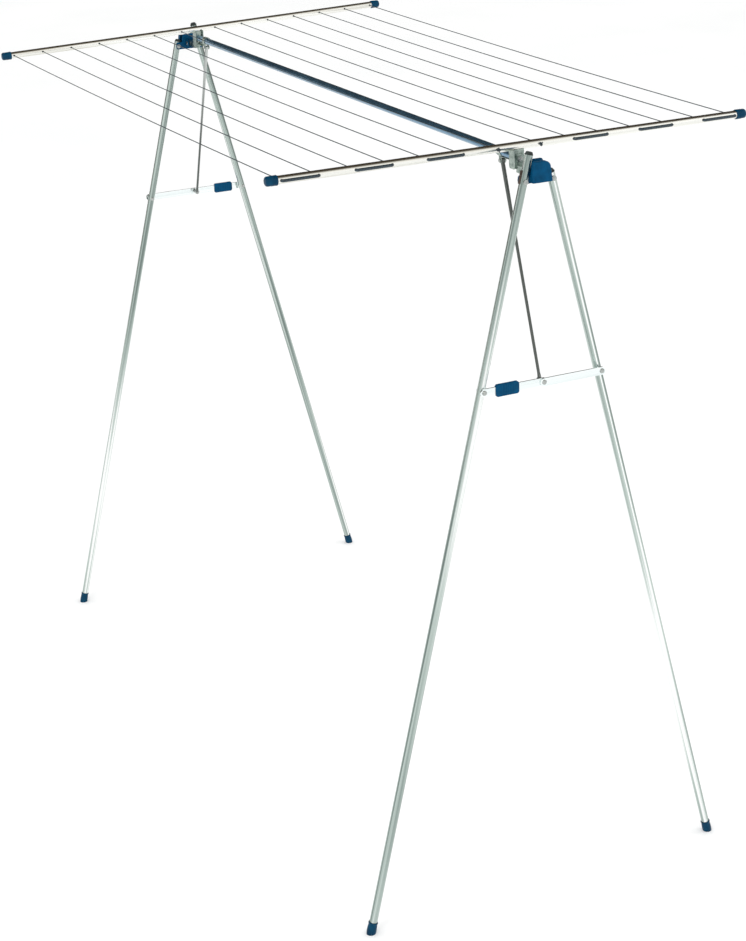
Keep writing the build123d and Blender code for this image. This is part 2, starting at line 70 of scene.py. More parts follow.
def make_camera():
    """Makes the scene's camera from its bearing, dip and roll."""
    data = bpy.data.cameras.new("studio_camera")
    data.sensor_width = 36.0
    data.lens = CAMERA_LENS
    data.shift_y = CAMERA_SHIFT
    data.clip_end = 200.0
    camera = bpy.data.objects.new("studio_camera", data)
    turn = Matrix.Rotation(-CAMERA_BEARING, 4, "Z")
    tip = Matrix.Rotation(math.pi / 2 - CAMERA_DIP, 4, "X")
    roll = Matrix.Rotation(CAMERA_ROLL, 4, "Z")
    camera.matrix_world = Matrix.Translation(CAMERA_PLACE) @ turn @ tip @ roll
    bpy.context.scene.collection.objects.link(camera)
    bpy.context.scene.camera = camera
    return camera


print("camera at", [round(v, 3) for v in make_camera().location])

# %% [markdown]
# ## Small helpers for nodes and colours
# Every material below is a tree of shader nodes. One function adds a node with its settings and its
# links, so a tree reads from top to bottom. Colours are written as sRGB hex, as a paint maker would
# give them, and one function turns them into the linear light that the shader works in.


# %% Node and colour helpers
def linear(hex_colour):
    """An sRGB hex colour as linear RGBA."""
    channels = [int(hex_colour[i:i + 2], 16) / 255 for i in (1, 3, 5)]
    low = [c / 12.92 for c in channels]
    high = [((c + 0.055) / 1.055) ** 2.4 for c in channels]
    mixed = [l if c <= 0.04045 else h for c, l, h in zip(channels, low, high)]
    return (*mixed, 1.0)


def add(tree, kind, settings=None, **inputs):
    """Adds one node. settings are its properties; inputs are values or sockets, by input name."""
    made = tree.nodes.new(kind)
    for key, value in (settings or {}).items():
        setattr(made, key, value)
    for key, value in inputs.items():
        by_number = key[0] == "i" and key[1:].isdigit()
        socket = made.inputs[int(key[1:]) if by_number else key.replace("_", " ")]
        if isinstance(value, bpy.types.NodeSocket):
            tree.links.new(value, socket)
        else:
            socket.default_value = value
    return made


def new_material(name):
    """An empty material with a Principled shader joined to its output."""
    material = bpy.data.materials.new(name)
    material.use_nodes = True
    tree = material.node_tree
    tree.nodes.clear()
    shader = tree.nodes.new("ShaderNodeBsdfPrincipled")
    output = tree.nodes.new("ShaderNodeOutputMaterial")
    tree.links.new(shader.outputs["BSDF"], output.inputs["Surface"])
    return material, tree, shader


def ramp(tree, fac, stops):
    """A colour ramp whose stops are (place, hex colour) pairs, driven by fac."""
    made = add(tree, "ShaderNodeValToRGB", i0=fac)
    elements = made.color_ramp.elements
    while len(elements) < len(stops):
        elements.new(0.5)
    for element, (place, colour) in zip(elements, stops):
        element.position = place
        element.color = linear(colour)
    return made.outputs["Color"]


def per_mm(size_mm):
    """A texture scale whose features are about size_mm across."""
    return 1.0 / (size_mm * MM)


print("mid grey in linear light:", [round(c, 3) for c in linear("#808080")])

# %% [markdown]
# ## Studio
# The rack stands in a white studio. A metal tube shows its surroundings more than its own colour, so
# the sky that it mirrors matters: bright low down and over the camera, dark overhead and behind, like
# a lit screen under a dark ceiling. That draws the dark line along the top of each tube. Matt things
# are lit by an even pale sky instead, and the camera itself sees a plain backdrop.

# %% World, lights and floor
BACKDROP = "#fdfdfc"
DAYLIGHT = "#ffffff"
FLOOR_HALF = 30.0
BACK_SKY = [(0.0, "#6b665c"), (0.06, "#3a332b"), (0.5, "#2e2821"), (1.0, "#3f382e")]
FRONT_SKY = [(0.0, "#ffffff"), (0.62, "#fbfaf6"), (0.82, "#857f73"), (1.0, "#3f382e")]
MIRRORED_STRENGTH = 1.15
DAYLIGHT_STRENGTH = 1.03


def make_world():
    """A mirrored sky that is dark overhead and behind, even daylight, and a plain backdrop."""
    world = bpy.data.worlds.new("studio_world")
    bpy.context.scene.world = world
    world.use_nodes = True
    tree = world.node_tree
    tree.nodes.clear()
    toward_camera = Vector((-math.sin(CAMERA_BEARING), -math.cos(CAMERA_BEARING), 0.0))
    ray = add(tree, "ShaderNodeTexCoord").outputs["Generated"]
    facing = add(tree, "ShaderNodeVectorMath", {"operation": "DOT_PRODUCT"}, i0=ray, i1=toward_camera)
    height = add(tree, "ShaderNodeSeparateXYZ", i0=ray).outputs["Z"]
    front = add(tree, "ShaderNodeMapRange", i0=facing.outputs["Value"], i1=-0.2, i2=0.2, i3=0.0, i4=1.0)
    back_sky = ramp(tree, height, BACK_SKY)
    front_sky = ramp(tree, height, FRONT_SKY)
    sky = add(tree, "ShaderNodeMix", {"data_type": "RGBA"}, i0=front.outputs[0], i6=back_sky, i7=front_sky)
    path = add(tree, "ShaderNodeLightPath")
    mirrored = add(tree, "ShaderNodeBackground", Color=sky.outputs[2], Strength=MIRRORED_STRENGTH)
    even = add(tree, "ShaderNodeBackground", Color=linear(DAYLIGHT), Strength=DAYLIGHT_STRENGTH)
    plain = add(tree, "ShaderNodeBackground", Color=linear(BACKDROP), Strength=1.0)
    matt = path.outputs["Is Diffuse Ray"]
    unseen = add(tree, "ShaderNodeMixShader", i0=matt, i1=mirrored.outputs[0], i2=even.outputs[0])
    seen = path.outputs["Is Camera Ray"]
    both = add(tree, "ShaderNodeMixShader", i0=seen, i1=unseen.outputs[0], i2=plain.outputs[0])
    add(tree, "ShaderNodeOutputWorld", Surface=both.outputs[0])
    return world


def make_light(name, place, aim, size, watts):
    """A square soft box."""
    data = bpy.data.lights.new(name, "AREA")
    data.shape = "SQUARE"
    data.size = size
    data.energy = watts
    lamp = bpy.data.objects.new(name, data)
    lamp.location = place
    lamp.rotation_euler = (Vector(aim) - Vector(place)).to_track_quat("-Z", "Y").to_euler()
    bpy.context.scene.collection.objects.link(lamp)
    return lamp


def make_floor():
    """A wide pale floor whose faint mottling keeps it from looking like a flat colour."""
    mesh = bpy.data.meshes.new("studio_floor")
    corners = [(x * FLOOR_HALF, y * FLOOR_HALF, 0.0) for x, y in ((-1, -1), (1, -1), (1, 1), (-1, 1))]
    mesh.from_pydata(corners, [], [(0, 1, 2, 3)])
    floor = bpy.data.objects.new("studio_floor", mesh)
    bpy.context.scene.collection.objects.link(floor)
    material, tree, shader = new_material("painted_studio_floor")
    place = add(tree, "ShaderNodeTexCoord").outputs["Object"]
    mottle = add(tree, "ShaderNodeTexNoise", Vector=place, Scale=per_mm(900), Detail=3.0)
    colour = ramp(tree, mottle.outputs["Fac"], [(0.3, "#fafbfb"), (0.7, "#fefefe")])
    tree.links.new(colour, shader.inputs["Base Color"])
    shader.inputs["Roughness"].default_value = 0.9
    shader.inputs["Specular IOR Level"].default_value = 0.1
    mesh.materials.append(material)
    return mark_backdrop(floor)


# The plain view transform keeps the white studio white.
bpy.context.scene.view_settings.view_transform = "Standard"
make_world()
make_floor()
make_light("key_soft_box", (-4.5, -3.5, 5.0), (0.0, 0.0, 0.8), 2.2, 60.0)
make_light("fill_soft_box", (5.0, -2.0, 4.5), (0.0, 0.0, 0.8), 2.6, 36.0)
print("studio ready")

# %% [markdown]
# ## Anodised aluminium tube
# The arms and legs are drawn aluminium tube with a natural anodised skin. Drawing through a die leaves
# fine lines along the tube, and anodising turns the mirror into a satin, slightly grey-green metal.
# A noise that is stretched along the tube gives both: it is narrow across and very long. A broader
# noise of the same shape paints dark streaks and bright highlight bands into the colour, a painted
# reflection of the studio laid over the die-line tone. The tubes lie in different directions, so the
# same recipe is turned to each tube's own axis.

# %% Anodised aluminium
TUBE_R = 8.0 * MM
DIE_LINE = 1.6
DIE_LINE_LENGTH = 500.0
# The legs' stops run from a dark painted reflection streak to a near-white painted highlight, and the rod's
# from a dark painted streak to a pale painted sheen. The arms' and links' stops are mostly the metal's own
# pale tone.
COOL_TONE_AND_STREAK_STOPS = [(0.36, "#717e7a"), (0.45, "#a0ada8"), (0.54, "#bac6c1"), (0.61, "#f6f8f7")]
WARM_STOPS = [(0.30, "#cbc8be"), (0.5, "#efefea"), (0.70, "#fdfdfb")]
STRIP_STOPS = [(0.30, "#dbe4e4"), (0.5, "#eef5f5"), (0.70, "#ffffff")]
ROD_TONE_AND_STREAK_STOPS = [(0.40, "#5a5e5c"), (0.48, "#8f9391"), (0.56, "#bcc0be")]


def drawn_metal(name, turn, stops, streak_share=0.35):
    """Drawn metal with die-line tone and painted reflection streaks, where turn brings the length of the
    object to the pattern's Z.
    """
    material, tree, shader = new_material(name)
    place = add(tree, "ShaderNodeTexCoord").outputs["Object"]
    turned = add(tree, "ShaderNodeMapping", {"vector_type": "POINT"}, Vector=place, Rotation=turn)
    # The lines are drawn 1.6 mm apart, coarser than real die lines, so that they show.
    squeeze = (per_mm(DIE_LINE), per_mm(DIE_LINE), per_mm(DIE_LINE_LENGTH))
    drawn = add(tree, "ShaderNodeMapping", Vector=turned.outputs[0], Scale=squeeze).outputs[0]
    lines = add(tree, "ShaderNodeTexNoise", Vector=drawn, Scale=1.0, Detail=4.0, Roughness=0.6)
    # The broad bands are painted reflection: dark streaks and bright highlight bands mixed into the die-line
    # tone.
    streak_scale = add(tree, "ShaderNodeMapping", Vector=drawn, Scale=(0.22, 0.22, 0.6))
    painted_streak_bands = add(tree, "ShaderNodeTexNoise", Vector=streak_scale.outputs[0], Scale=1.0, Detail=1.0)
    fine, painted_streaks = lines.outputs[0], painted_streak_bands.outputs[0]
    both = add(tree, "ShaderNodeMix", {"data_type": "FLOAT"}, i0=streak_share, i2=painted_streaks, i3=fine)
    tree.links.new(ramp(tree, both.outputs[0], stops), shader.inputs["Base Color"])
    rough = add(tree, "ShaderNodeMapRange", i0=lines.outputs[0], i1=0.3, i2=0.7, i3=0.14, i4=0.28)
    tree.links.new(rough.outputs[0], shader.inputs["Roughness"])
    bump = add(tree, "ShaderNodeBump", Strength=0.25, Distance=0.05 * MM, Height=lines.outputs[0])
    tree.links.new(bump.outputs[0], shader.inputs["Normal"])
    shader.inputs["Metallic"].default_value = 1.0
    return material


# Places in the engineering model. They give the lean of the legs and rods, and later their pieces.
FOOT_HALF_SPREAD = 400.0 * MM
PIVOT_HALF_SPREAD = 30.24 * MM
PIVOT_HEIGHT = 1482.0 * MM
TRESTLE_Y = 898.0 * MM
SPREADER_Z = 1090.0 * MM
ROD_TOP = Vector((0.0, -765.14 * MM, 1493.0 * MM))
ROD_FOOT = Vector((0.0, -TRESTLE_Y, SPREADER_Z))
LEG_LEAN = math.atan2(FOOT_HALF_SPREAD - PIVOT_HALF_SPREAD, PIVOT_HEIGHT)
ROD_LEAN = math.atan2(ROD_TOP.y - ROD_FOOT.y, ROD_TOP.z - ROD_FOOT.z)
ARM_TURN = (0.0, math.pi / 2, 0.0)
ARM_FINISH = drawn_metal("anodised_aluminium_arm", ARM_TURN, WARM_STOPS)
LEFT_LEAN_FINISH = drawn_metal("anodised_aluminium_leg_left", (0.0, -LEG_LEAN, 0.0), COOL_TONE_AND_STREAK_STOPS, 0.3)
RIGHT_LEAN_FINISH = drawn_metal("anodised_aluminium_leg_right", (0.0, LEG_LEAN, 0.0), COOL_TONE_AND_STREAK_STOPS, 0.3)
STRIP_FINISH = drawn_metal("anodised_aluminium_strip", ARM_TURN, STRIP_STOPS)
ROD_FINISH = {
    "front": drawn_metal("zinc_plated_front_rod", (ROD_LEAN, 0.0, 0.0), ROD_TONE_AND_STREAK_STOPS, 0.2),
    "rear": drawn_metal("zinc_plated_rear_rod", (-ROD_LEAN, 0.0, 0.0), ROD_TONE_AND_STREAK_STOPS, 0.2),
}
print("leg lean", round(math.degrees(LEG_LEAN), 2), "degrees")

# %% [markdown]
# ## Stoved enamel, zinc plate and turned rivets
# The beam is steel tube dipped in navy stoving enamel, which flows out glossy but keeps a faint
# orange peel. The bent brackets are zinc plated: a soft grey metal, mottled by its crystals and a
# little green from the passivating bath. Rivets and pins are turned, then plated brighter.


# %% Steel finishes
def stoved_enamel():
    """Glossy navy metallic enamel with orange peel under a clear coat."""
    material, tree, shader = new_material("navy_stoved_enamel")
    place = add(tree, "ShaderNodeTexCoord").outputs["Object"]
    clouds = add(tree, "ShaderNodeTexNoise", Vector=place, Scale=per_mm(60), Detail=2.0)
    colour = ramp(tree, clouds.outputs["Fac"], [(0.3, "#4d7896"), (0.7, "#6390ad")])
    tree.links.new(colour, shader.inputs["Base Color"])
    peel = add(tree, "ShaderNodeTexNoise", Vector=place, Scale=per_mm(2.2), Detail=1.0)
    rough = add(tree, "ShaderNodeMapRange", i0=clouds.outputs["Fac"], i1=0.3, i2=0.7, i3=0.16, i4=0.26)
    tree.links.new(rough.outputs[0], shader.inputs["Roughness"])
    bump = add(tree, "ShaderNodeBump", Strength=0.15, Distance=0.08 * MM, Height=peel.outputs["Fac"])
    tree.links.new(bump.outputs[0], shader.inputs["Normal"])
    # Aluminium flake in the enamel mirrors the pale floor along the underside of the beam.
    shader.inputs["Metallic"].default_value = 0.8
    shader.inputs["Coat Weight"].default_value = 0.5
    shader.inputs["Coat Roughness"].default_value = 0.06
    return material


def plated_steel(name, dark, light, grain_mm, rough_low, rough_high):
    """Zinc plated steel: two greys mottled by the crystals of the plating."""
    material, tree, shader = new_material(name)
    place = add(tree, "ShaderNodeTexCoord").outputs["Object"]
    crystals = add(tree, "ShaderNodeTexVoronoi", Vector=place, Scale=per_mm(grain_mm))
    clouds = add(tree, "ShaderNodeTexNoise", Vector=place, Scale=per_mm(grain_mm * 2.5), Detail=4.0)
    cells = crystals.outputs["Distance"]
    blend = add(tree, "ShaderNodeMix", {"data_type": "FLOAT"}, i0=0.7, i2=cells, i3=clouds.outputs[0])
    tree.links.new(ramp(tree, blend.outputs[0], [(0.3, dark), (0.7, light)]), shader.inputs["Base Color"])
    rough = add(tree, "ShaderNodeMapRange", i0=blend.outputs[0], i1=0.3, i2=0.7, i3=rough_low, i4=rough_high)
    tree.links.new(rough.outputs[0], shader.inputs["Roughness"])
    bump = add(tree, "ShaderNodeBump", Strength=0.15, Distance=0.05 * MM, Height=clouds.outputs[0])
    tree.links.new(bump.outputs[0], shader.inputs["Normal"])
    shader.inputs["Metallic"].default_value = 1.0
    return material


ENAMEL = stoved_enamel()
BRACKET_ZINC = plated_steel("zinc_plated_bracket", "#66756f", "#b4c1b9", 5.0, 0.20, 0.36)
RIVET_ZINC = plated_steel("bright_plated_rivet", "#8d9290", "#c3c7c4", 1.5, 0.18, 0.34)
print("steel finishes:", ENAMEL.name, BRACKET_ZINC.name, RIVET_ZINC.name)

# %% [markdown]
# ## Moulded plastics and the line's coat
# Hoods and lock sleeves are moulded polypropylene, coloured right through: a deep blue with the fine
# matt grain of a spark-eroded mould. Feet and arm caps are softer vinyl, darker and a little shinier.
# The plugs are grey nylon and the bumpers brown rubber. The clothes line has a textile core in very
# dark blue vinyl, and the core's plait shows as a faint ripple that winds round the line.


# %% Plastic finishes
def moulded_plastic(name, deep, face, rough, grain_mm, grain_depth, coat=0.0):
    """Through-coloured plastic with mould grain and faint flow clouds."""
    material, tree, shader = new_material(name)
    place = add(tree, "ShaderNodeTexCoord").outputs["Object"]
    clouds = add(tree, "ShaderNodeTexNoise", Vector=place, Scale=per_mm(14), Detail=3.0)
    colour = ramp(tree, clouds.outputs["Fac"], [(0.25, deep), (0.75, face)])
    tree.links.new(colour, shader.inputs["Base Color"])
    grain = add(tree, "ShaderNodeTexNoise", Vector=place, Scale=per_mm(grain_mm), Detail=2.0)
    smooth = rough - 0.06
    matt = rough + 0.06
    uneven = add(tree, "ShaderNodeMapRange", i0=clouds.outputs["Fac"], i1=0.3, i2=0.7, i3=smooth, i4=matt)
    tree.links.new(uneven.outputs[0], shader.inputs["Roughness"])
    bump = add(tree, "ShaderNodeBump", Strength=0.4, Distance=grain_depth * MM, Height=grain.outputs["Fac"])
    tree.links.new(bump.outputs[0], shader.inputs["Normal"])
    shader.inputs["IOR"].default_value = 1.49
    # The grain hides most of the sheen, so the colour stays deep.
    shader.inputs["Specular IOR Level"].default_value = 0.08
    shader.inputs["Coat Weight"].default_value = coat
    return material


def vinyl_line():
    """Blue vinyl coat with the plait of the core rippling it, in coordinates laid along the line."""
    material, tree, shader = new_material("vinyl_coated_line")
    along = add(tree, "ShaderNodeTexCoord").outputs["UV"]
    # One turn of the plait every 6 mm; U goes round the line and V along it in metres.
    turned = add(tree, "ShaderNodeMapping", Vector=along, Scale=(1.0, 1.0 / (6 * MM), 1.0))
    parts = add(tree, "ShaderNodeSeparateXYZ", i0=turned.outputs[0])
    round_line, along_line = parts.outputs[0], parts.outputs[1]
    slant = add(tree, "ShaderNodeMath", {"operation": "MULTIPLY_ADD"}, i0=round_line, i1=2.0, i2=along_line)
    wave = add(tree, "ShaderNodeMath", {"operation": "MULTIPLY"}, i0=slant.outputs[0], i1=math.tau)
    ripple = add(tree, "ShaderNodeMath", {"operation": "SINE"}, i0=wave.outputs[0])
    lift = add(tree, "ShaderNodeMapRange", i0=ripple.outputs[0], i1=-1.0, i2=1.0, i3=0.0, i4=1.0)
    colour = ramp(tree, lift.outputs[0], [(0.2, "#0f2029"), (0.8, "#1c3541")])
    tree.links.new(colour, shader.inputs["Base Color"])
    bump = add(tree, "ShaderNodeBump", Strength=0.5, Distance=0.12 * MM, Height=lift.outputs[0])
    tree.links.new(bump.outputs[0], shader.inputs["Normal"])
    shader.inputs["Roughness"].default_value = 0.33
    shader.inputs["IOR"].default_value = 1.53
    shader.inputs["Coat Weight"].default_value = 0.15
    return material


BLUE_POLYPROPYLENE = moulded_plastic("blue_polypropylene", "#003c5c", "#004c74", 0.42, 0.8, 0.06)
BLUE_VINYL = moulded_plastic("blue_vinyl", "#002e48", "#004260", 0.34, 1.2, 0.05, coat=0.08)
GREY_NYLON = moulded_plastic("grey_nylon", "#2c3231", "#434a48", 0.45, 0.9, 0.05)
DARK_RUBBER = moulded_plastic("brown_rubber", "#3a332e", "#574d45", 0.7, 0.7, 0.08)
LINE_VINYL = vinyl_line()
print("plastics:", BLUE_POLYPROPYLENE.name, BLUE_VINYL.name, GREY_NYLON.name, LINE_VINYL.name)

# %% [markdown]
# ## Finishes on the parts that keep their shape
# Tubes, links and bent brackets are already exact in the engineering model, holes and all. They keep
# their shape, and only their material changes.

# %% Dress the kept parts
ENDS = ("front", "rear")


def dress(node, material):
    """Gives one kept part its material."""
    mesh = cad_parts[node].data
    mesh.materials.clear()
    mesh.materials.append(material)


dress("beam_tube", ENAMEL)
for end in ENDS:
    dress(f"{end}_arm", ARM_FINISH)
    long_finish = LEFT_LEAN_FINISH if end == "front" else RIGHT_LEAN_FINISH
    short_finish = RIGHT_LEAN_FINISH if end == "front" else LEFT_LEAN_FINISH
    dress(f"{end}_long_leg", long_finish)
    dress(f"{end}_short_leg", short_finish)
    dress(f"{end}_long_link", STRIP_FINISH)
    dress(f"{end}_short_link", STRIP_FINISH)
    dress(f"{end}_head_plate", BLUE_POLYPROPYLENE)
    for part in ("hanger", "hinge_tongue", "saddle"):
        dress(f"{end}_{part}", BRACKET_ZINC)
    for part in ("tongue_rivet", "hinge_pin", "rod_lug_pin", "leg_pivot_pins"):
        dress(f"{end}_{part}", RIVET_ZINC)
    dress(f"{end}_bumper", DARK_RUBBER)
print("kept parts dressed")

# %% [markdown]
# ## Mesh helpers
# Most of the fine parts are turned: a foot, a cap, a plug and a rivet are each one outline spun about
# an axis. `lathe` spins an outline of (radius, height) points. Every piece is named, rides on a body,
# gets its material and hides the part of the engineering model that it stands for.


# %% Mesh helpers
def turn_to_end(end):
    """The front's parts are modelled in place; the rear's are the same turned half a turn about Z."""
    return Matrix.Rotation(math.pi if end == "rear" else 0.0, 4, "Z")


def frame_along(origin, direction, up=Vector((0.0, 1.0, 0.0))):
    """A matrix that puts a part's own Z along direction, at origin."""
    z = Vector(direction).normalized()
    x = Vector(up).cross(z).normalized()
    y = z.cross(x)
    rotation = Matrix((x, y, z)).transposed().to_4x4()
    return Matrix.Translation(Vector(origin)) @ rotation


def lathe(mesh, outline, steps, place):
    """Spins an outline of (radius, height) points in metres about Z into a closed skin."""
    rings = []
    for radius, height in outline:
        if radius < 1e-9:
            rings.append([mesh.verts.new(place @ Vector((0.0, 0.0, height)))])
            continue
        ring = []
        for step in range(steps):
            angle = math.tau * step / steps
            point = Vector((radius * math.cos(angle), radius * math.sin(angle), height))
            ring.append(mesh.verts.new(place @ point))
        rings.append(ring)
    pairs = list(zip(rings, rings[1:]))
    if len(rings[0]) > 1:
        pairs.append((rings[-1], rings[0]))
    for low, high in pairs:
        for step in range(steps):
            after = (step + 1) % steps
            corners = [low[step % len(low)], low[after % len(low)]]
            corners += [high[after % len(high)], high[step % len(high)]]
            unique = list(dict.fromkeys(corners))
            if len(unique) > 2:
                mesh.faces.new(unique)


def finish_piece(name, mesh, body, material, replaced, smooth_degrees=35.0):
    """Turns a bmesh into a named piece that rides on its body."""
    bmesh.ops.recalc_face_normals(mesh, faces=mesh.faces)
    data = bpy.data.meshes.new(name)
    mesh.to_mesh(data)
    mesh.free()
    data.materials.append(material)
    data.shade_smooth()
    data.set_sharp_from_angle(angle=math.radians(smooth_degrees))
    piece = bpy.data.objects.new(name, data)
    bpy.context.scene.collection.objects.link(piece)
    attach(piece, body)
    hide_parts(*replaced)
    return piece


def arc(radius, start_degrees, end_degrees, steps, centre=(0.0, 0.0)):
    """Points on an arc, for the round stretches of an outline."""
    points = []
    for step in range(steps + 1):
        angle = math.radians(start_degrees + (end_degrees - start_degrees) * step / steps)
        points.append((centre[0] + radius * math.cos(angle), centre[1] + radius * math.sin(angle)))
    return points


print("helpers ready")

# %% [markdown]
# ## Feet
# Each foot is a soft vinyl boot pushed over the leg's end, with a thick sole, a belly and a rolled
# collar. It could be sculpted, but it is a turned shape: one outline spun about the leg's axis, then
# cut level with the floor, because the leg meets the floor at an angle.

# %% Feet
FOOT_R = 9.75 * MM
FOOT_TOP = 25.0 * MM
COLLAR_ROUND = 1.3 * MM
FLOOR_GAP = 0.1 * MM
LEG_NAMES = {"long": -1, "short": 1}


def leg_foot_point(side):
    """Where a front leg's axis meets the floor."""
    return Vector((side * FOOT_HALF_SPREAD, -TRESTLE_Y, 0.0))


def leg_direction(side):
    """Up along a front leg."""
    return Vector((-side * math.sin(LEG_LEAN), 0.0, math.cos(LEG_LEAN)))


def foot_outline():
    """The boot's outline, from its inside up over the collar and down to below the floor."""
    inside = TUBE_R + 0.1 * MM
    points = [(0.0, 3.0 * MM), (inside, 3.0 * MM), (inside, FOOT_TOP - 1.0 * MM)]
    points += [(inside + 0.4 * MM, FOOT_TOP), (FOOT_R - 0.5 * MM, FOOT_TOP)]
    points += arc(COLLAR_ROUND, 60, -60, 6, (FOOT_R - COLLAR_ROUND, FOOT_TOP - COLLAR_ROUND - 0.2 * MM))
    points += [(FOOT_R - 0.9 * MM, FOOT_TOP - 4.2 * MM), (FOOT_R - 0.55 * MM, FOOT_TOP - 7.0 * MM)]
    points += [(FOOT_R - 0.1 * MM, 11.0 * MM), (FOOT_R, 6.5 * MM), (FOOT_R - 0.2 * MM, 3.2 * MM)]
    points += [(FOOT_R - 0.7 * MM, -1.0 * MM), (FOOT_R - 1.6 * MM, -6.0 * MM), (0.0, -6.0 * MM)]
    return points


def make_foot(end, leg):
    """One leg's boot, spun about the leg and cut level with the floor."""
    side = LEG_NAMES[leg]
    mesh = bmesh.new()
    lathe(mesh, foot_outline(), 56, frame_along(leg_foot_point(side), leg_direction(side)))
    whole = mesh.verts[:] + mesh.edges[:] + mesh.faces[:]
    cut = bmesh.ops.bisect_plane(
        mesh, geom=whole, plane_co=(0, 0, FLOOR_GAP), plane_no=(0, 0, -1), clear_outer=True
    )
    edges = [item for item in cut["geom_cut"] if isinstance(item, bmesh.types.BMEdge)]
    bmesh.ops.holes_fill(mesh, edges=edges)
    bmesh.ops.transform(mesh, matrix=turn_to_end(end), verts=mesh.verts)
    node = f"{end}_{leg}_leg_foot"
    return finish_piece(f"{end}_{leg}_boot", mesh, f"{end}_{leg}_leg", BLUE_VINYL, [node])


for end in ENDS:
    for leg in LEG_NAMES:
        make_foot(end, leg)
print("feet made")

# %% [markdown]
# ## Leg plugs
# A nylon plug closes the top of each leg. It has a thin flange that sits on the cut tube and a domed
# button. All four legs have the same plug.

# %% Leg plugs
PLUG_HEIGHT = 6.0 * MM
LEG_TOPS = {"long": 1531.0 * MM, "short": 1493.0 * MM}


def plug_outline():
    """The plug from its spigot inside the tube to the crown of its dome."""
    spigot = 6.7 * MM
    flange = TUBE_R + 0.2 * MM
    points = [(0.0, -7.0 * MM), (spigot - 0.6 * MM, -7.0 * MM), (spigot, -6.2 * MM), (spigot, 0.0)]
    points += [(flange, 0.0), (flange, 1.4 * MM), (flange - 0.5 * MM, 1.9 * MM)]
    points += [(r, h) for r, h in arc(7.4 * MM, 8, 90, 10, (0.0, 1.0 * MM)) if h < PLUG_HEIGHT]
    points += [(0.0, PLUG_HEIGHT)]
    return points


def make_plug(end, leg):
    """The plug in the top of one leg."""
    side = LEG_NAMES[leg]
    height = LEG_TOPS[leg]
    seat = leg_foot_point(side) + leg_direction(side) * (height / math.cos(LEG_LEAN))
    mesh = bmesh.new()
    lathe(mesh, plug_outline(), 48, turn_to_end(end) @ frame_along(seat, leg_direction(side)))
    node = f"{end}_{leg}_leg_plug"
    return finish_piece(f"{end}_{leg}_plug", mesh, f"{end}_{leg}_leg", GREY_NYLON, [node])


for end in ENDS:
    for leg in LEG_NAMES:
        make_plug(end, leg)
print("plugs made")

# %% [markdown]
# ## Arm caps
# Vinyl caps close the arms. Each is a turned cup with a rolled rim, three grip rings and a softly
# domed end, so that washing doesn't catch on it.

# %% Arm caps
CAP_R = 9.75 * MM
CAP_LENGTH = 23.0 * MM
ARM_HALF = 515.0 * MM
ARM_Y = 824.0 * MM
ARM_Z = 1532.0 * MM
REAR_TILT = math.radians(1.7)


def cap_outline():
    """The cap from its closed seat inside, round its rim, over the grip rings to the domed end."""
    bore = TUBE_R + 0.1 * MM
    seat = CAP_LENGTH - 3.4 * MM
    points = [(0.0, seat), (bore, seat), (bore, 0.3 * MM), (bore + 0.3 * MM, 0.0)]
    points += arc(0.8 * MM, -90, 0, 4, (CAP_R - 0.8 * MM, 0.8 * MM))
    points += [(CAP_R, 2.6 * MM), (CAP_R - 0.5 * MM, 3.1 * MM)]
    for ring in range(3):
        start = (4.2 + 3.0 * ring) * MM
        points += [(CAP_R - 0.5 * MM, start), (CAP_R - 0.1 * MM, start + 0.5 * MM)]
        points += [(CAP_R - 0.1 * MM, start + 1.2 * MM), (CAP_R - 0.5 * MM, start + 1.7 * MM)]
    points += [(CAP_R - 0.45 * MM, 14.0 * MM)]
    points += arc(4.2 * MM, 0, 80, 8, (CAP_R - 4.7 * MM, CAP_LENGTH - 4.3 * MM))
    points += [(0.0, CAP_LENGTH)]
    return points


def arm_matrix(end):
    """An arm's own frame: X along the arm, at the arm's middle."""
    sign = 1 if end == "rear" else -1
    tilt = Matrix.Rotation(-REAR_TILT if end == "rear" else 0.0, 4, "Y")
    return Matrix.Translation((0.0, sign * ARM_Y, ARM_Z)) @ tilt


def make_cap(end, hand):
    """The cap on one end of an arm."""
    side = -1 if hand == "left" else 1
    start = Vector((side * (ARM_HALF - CAP_LENGTH), 0.0, 0.0))
    mesh = bmesh.new()
    lathe(mesh, cap_outline(), 56, arm_matrix(end) @ frame_along(start, (side, 0.0, 0.0)))
    node = f"{end}_arm_cap_{hand}"
    return finish_piece(f"{end}_{hand}_cap", mesh, "top_frame", BLUE_VINYL, [node])


for end in ENDS:
    for hand in ("left", "right"):
        make_cap(end, hand)
print("arm caps made")

# %% [markdown]
# ## Clothes line
# Each side is one line of about 12 metres, laced to and fro through both arms and knotted at each
# end. It could be a bevelled curve, but its plait has to run along it, so it is a tube skinned over
# the smooth path with its own coordinates laid out in metres. The runs are pulled tight and sag only
# a few millimetres; at each arm the line turns sharply over the edge of its hole, and a thicker vinyl
# sleeve covers each loop there.

# %% Clothes line path
LINE_R = 1.0 * MM
LOOP_SLEEVE_R = 3.0 * MM
LINES = 7
FIRST_LINE = 45.5 * MM
LINE_PITCH = 73.4 * MM
LINE_SAG = 4.0 * MM
LINE_BEND = 3.8 * MM
LOOP_OUT = TUBE_R + LOOP_SLEEVE_R + 0.1 * MM
RUN_STEPS = 28


def arm_point(end, along, out):
    """A point beside an arm: along it from its middle, and out from its axis."""
    sign = 1 if end == "rear" else -1
    return arm_matrix(end) @ Vector((along, sign * out, 0.0))


